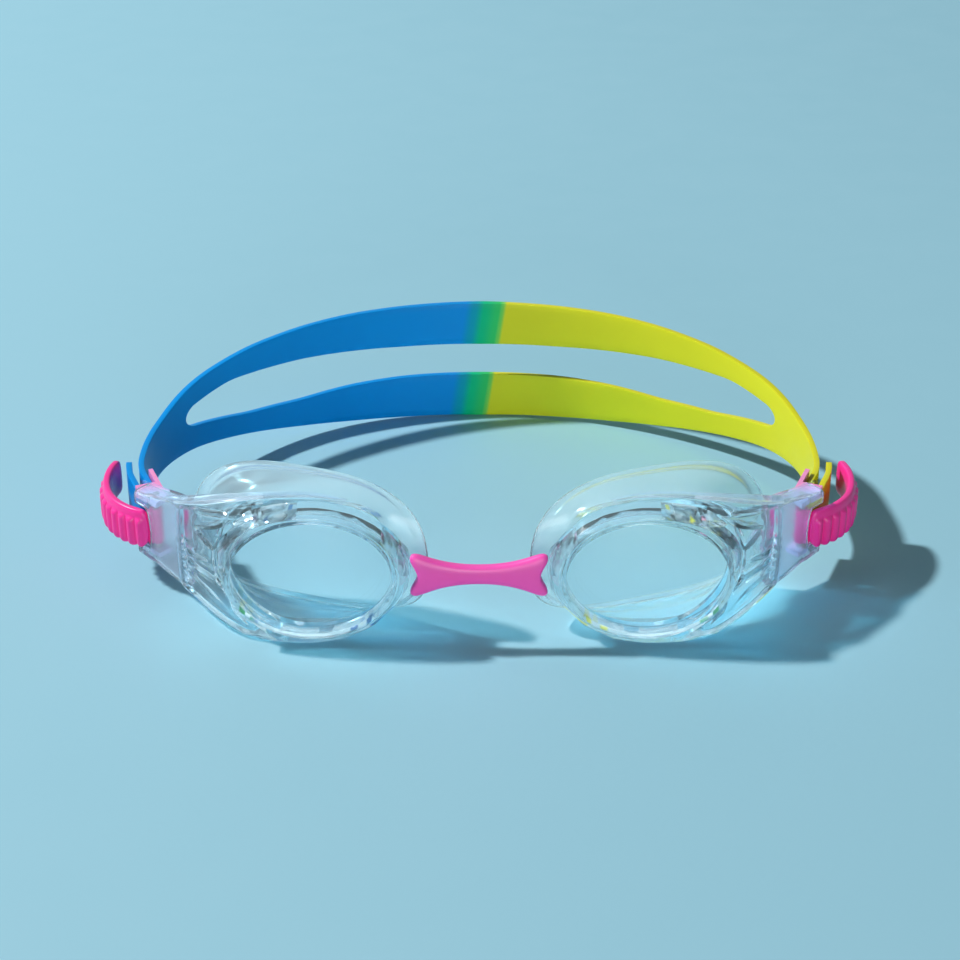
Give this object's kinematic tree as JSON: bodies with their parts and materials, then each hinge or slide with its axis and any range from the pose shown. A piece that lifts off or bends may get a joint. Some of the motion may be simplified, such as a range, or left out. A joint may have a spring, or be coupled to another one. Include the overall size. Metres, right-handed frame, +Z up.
{
  "type": "swim goggles",
  "caption": "Swim goggles with clear oval lenses in a clear frame, soft face gaskets, a pink nose bridge, a split two-colour strap and ribbed side buckles.",
  "frame": {"origin": "middle of the base: the point on the surface it stands on, under the middle of its width and depth", "axes": "-Y is the way the lenses look, +X runs to the right of the front view (the wearer's left), +Z is up"},
  "size_m": [0.158, 0.1, 0.032],
  "materials": {
    "clear_lens": "optically clear moulded polycarbonate",
    "clear_frame": "clear glossy moulded polycarbonate",
    "clear_silicone": "translucent satin silicone",
    "soft_wing": "milky translucent thermoplastic rubber",
    "buckle_insert": "moulded plastic",
    "pink_lever": "satin moulded plastic",
    "pink_bridge": "satin soft thermoplastic rubber",
    "silicone_strap": "satin silicone, blue running through green to yellow",
    "steel_pin": "plain round stainless pin"
  },
  "bodies": {
    "goggles": {"left_lens": "clear_lens", "left_lens_ring": "clear_frame", "left_frame": "clear_frame", "left_gasket": "clear_silicone", "left_temple_wing": "soft_wing", "left_buckle_body": "buckle_insert", "left_lever_pin": "steel_pin", "left_strap_bar": "steel_pin", "right_lens": "clear_lens", "right_lens_ring": "clear_frame", "right_frame": "clear_frame", "right_gasket": "clear_silicone", "right_temple_wing": "soft_wing", "right_buckle_body": "buckle_insert", "right_lever_pin": "steel_pin", "right_strap_bar": "steel_pin", "nose_bridge": "pink_bridge", "strap": "silicone_strap"},
    "left_lever": {"left_buckle_lever": "pink_lever"},
    "right_lever": {"right_buckle_lever": "pink_lever"}
  },
  "joints": [
    {"name": "left_lever_squeeze", "type": "hinge", "parent": "goggles", "child": "left_lever", "pos_m": [-0.0659, -0.02566, 0.0148], "axis": [0, 0, -1], "range_deg": [0, 6], "stiffness_Nm_per_rad": 0.05, "springref_deg": -1.72},
    {"name": "right_lever_squeeze", "type": "hinge", "parent": "goggles", "child": "right_lever", "pos_m": [0.0659, -0.02566, 0.0148], "axis": [0, 0, 1], "range_deg": [0, 6], "stiffness_Nm_per_rad": 0.05, "springref_deg": -1.72}
  ]
}
